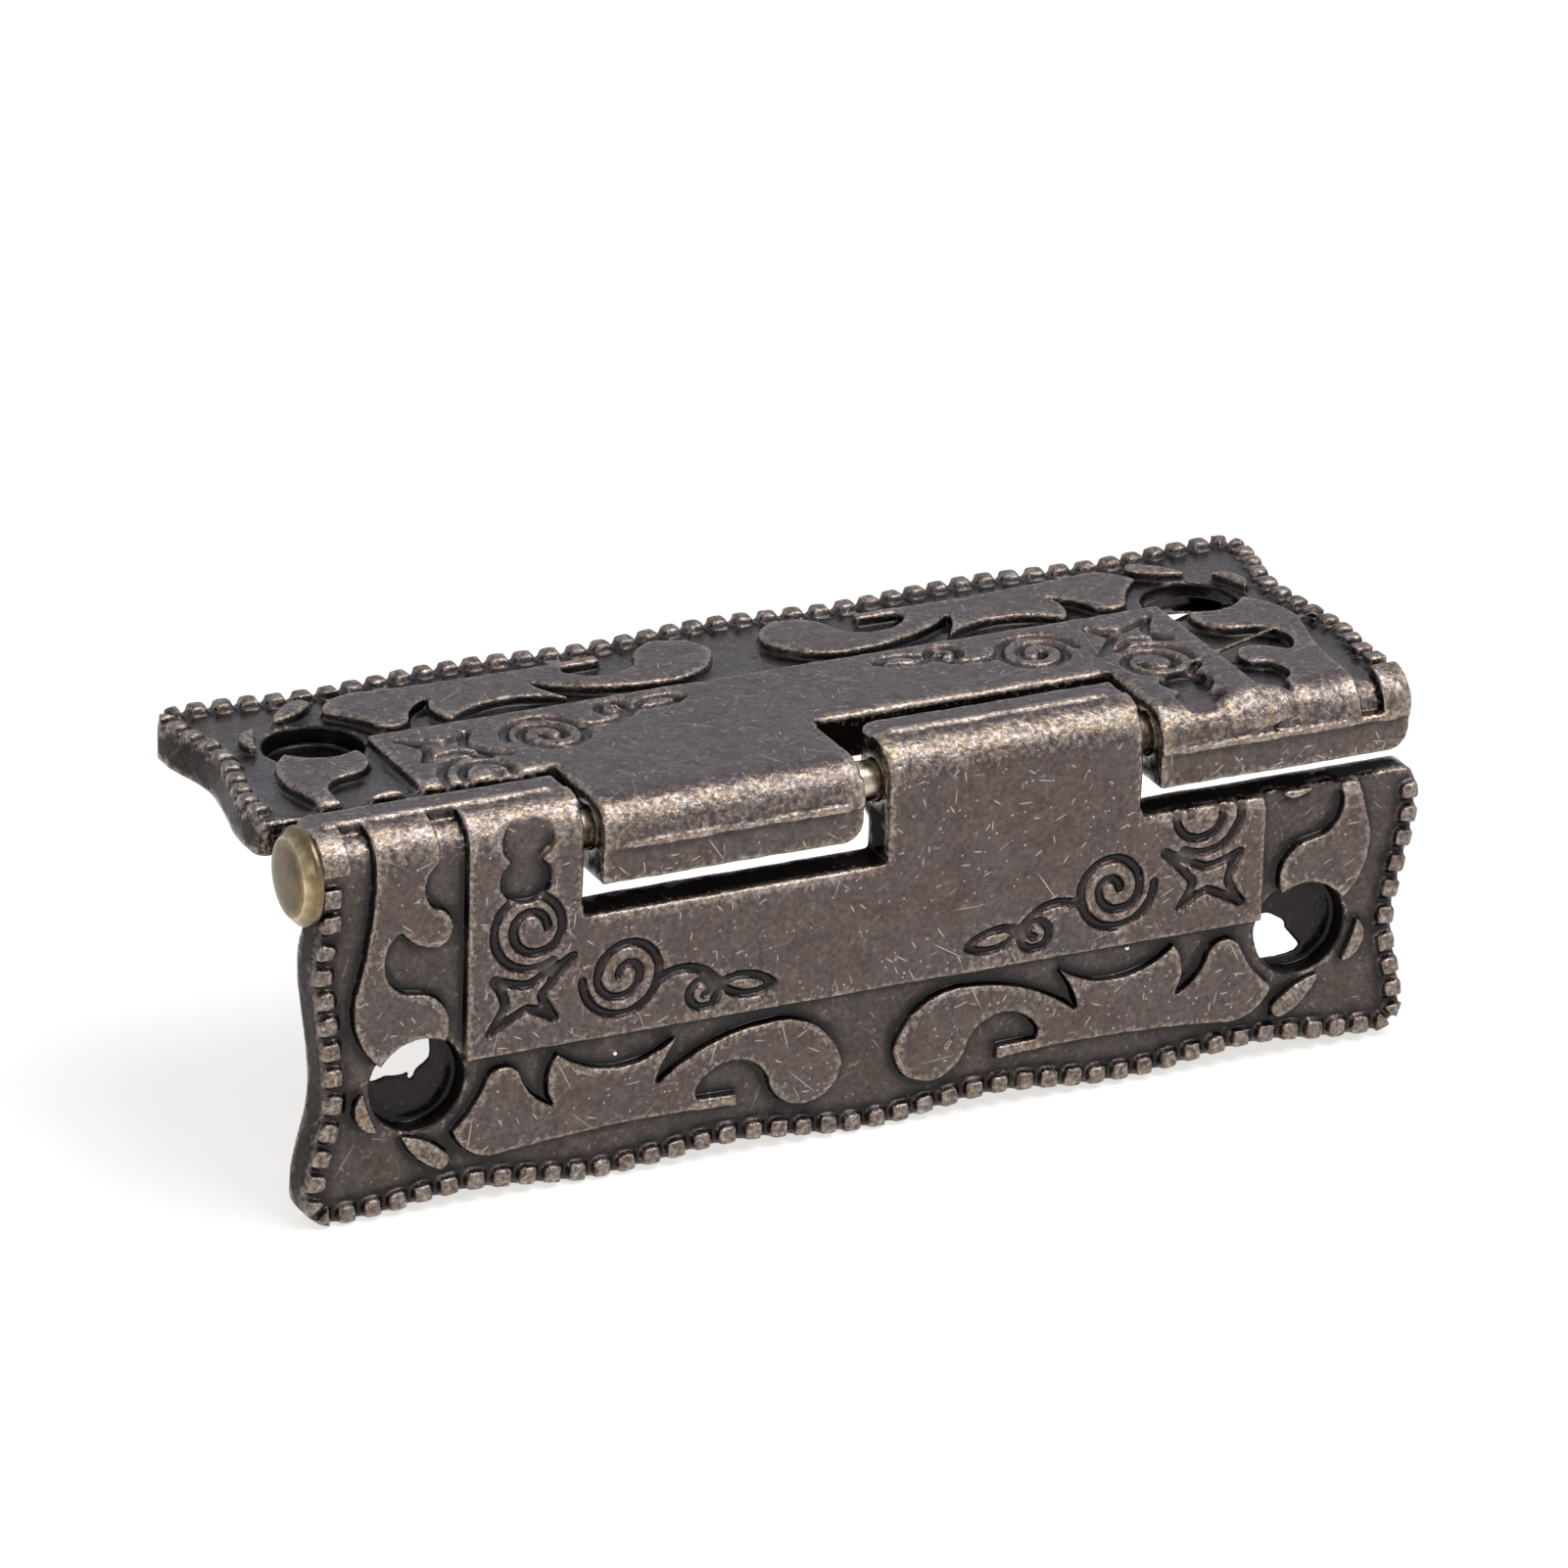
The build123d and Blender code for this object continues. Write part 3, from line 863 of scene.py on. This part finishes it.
# %% [markdown]
# ## Highlit and bare places of the pin
# The edge of the head's face and the head's rim are lightened as painted highlight, and the shank, which
# turns in the knuckles, stays bare.
# A mask could be painted, but both places follow from the distance to the axis and the place along it.

# %% Painted highlight and bare shank of the pin
edge_width = 0.09
spots = read(pin.data.vertices, "co", 3, np.float32) / mm - np.array(pin_axis) / mm
from_axis = np.hypot(spots[:, 1], spots[:, 2])
on_head = spots[:, 0] < pin_left + 0.4
# A bright ring round the edge of the head's face and a lighter rim are painted highlight.
head_highlight = np.exp(-(((from_axis - head_radius + 0.44) / edge_width) ** 2)) * on_head
head_highlight += 0.25 * (from_axis > head_radius - 0.15)
shank = spots[:, 0] > pin_left + head_thickness + 0.02
for name, values in (("wear_and_highlight", head_highlight), ("shank", shank)):
    pin.data.attributes.new(name, "FLOAT", "POINT").data.foreach_set("value", values.astype(np.float32))
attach(pin, "front_leaf")
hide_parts("hinge_pin")
print("pin points on the shank", int(shank.sum()))

# %% [markdown]
# ## Brass of the pin
# The pin is plated like the leaves but was hardly blackened, so it stays an olive gold.
# Tumbling left it satin, with faint darker clouds. One flat colour could do at a distance,
# but the head is seen from close by, so a haze of two tones carries the colour and the polish.

# %% Brass finish
haze_mm = 1.1
nick_mm = 0.25
brass, tree, output = new_finish("tumbled_brass_plating")
spot = add(tree, "TexCoord").outputs["Object"]
wear_and_highlight = add(tree, "Attribute", attribute_name="wear_and_highlight").outputs["Fac"]
shank = add(tree, "Attribute", attribute_name="shank").outputs["Fac"]
haze = pattern(haze_mm, 0, 1, 6.0)
gold = mix(haze, colour("#3a2c19"), colour("#66532f"))
# The pale gold on the head's face edge and rim is painted highlight.
gold = mix(sum_of(wear_and_highlight, spread(haze, (0, 1), (0.15, 1.0)), "MULTIPLY"), gold, colour("#ead6ae"))
gold = mix(shank, gold, colour("#c9bda6"))
rough = spread(haze, (0, 1), (0.16, 0.3))
dents = add(tree, "Bump", {"Height": pattern(nick_mm, 0, 1, 3.0), "Strength": 0.5, "Distance": 0.008 * mm})
shader = add(
    tree, "BsdfPrincipled",
    {"Base Color": gold, "Metallic": 1.0, "Roughness": rough, "Normal": dents.outputs[0]},
)
tree.links.new(shader.outputs[0], output.inputs["Surface"])
pin.data.materials.append(brass)
print("brass haze", haze_mm, "mm")

# %% [markdown]
# ## Two bright pips
# Bubbles in the mould left two tiny balls of metal on the front leaf's ground, under the panel.
# They stand clear of the blackening and were polished bright, so they are small spheres in bare zinc.

# %% Bright pips
pip_radius = 0.13
pip_places = ((-11.93, -10.17), (12.68, -9.47))
pip_shape = bmesh.new()
for x, y in pip_places:
    place = Matrix.Translation((x, y, ground_height))
    bmesh.ops.create_icosphere(pip_shape, subdivisions=3, radius=pip_radius, matrix=place)
bmesh.ops.transform(pip_shape, matrix=places["front_leaf"], verts=pip_shape.verts)
pips = as_object("front_leaf_pips", pip_shape)
pips.data.shade_smooth()
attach(pips, "front_leaf")
zinc, tree, output = new_finish("bare_polished_zinc")
shader = add(tree, "BsdfPrincipled", {"Base Color": colour("#f3f1ee"), "Metallic": 1.0, "Roughness": 0.3})
tree.links.new(shader.outputs[0], output.inputs["Surface"])
pips.data.materials.append(zinc)
print(len(pip_places), "pips of", pip_radius, "mm radius")

# %% [markdown]
# ## Bringing the scene up to date
# The view layer is updated once the finished hinge is in place.

# %% Update the scene
bpy.context.view_layer.update()
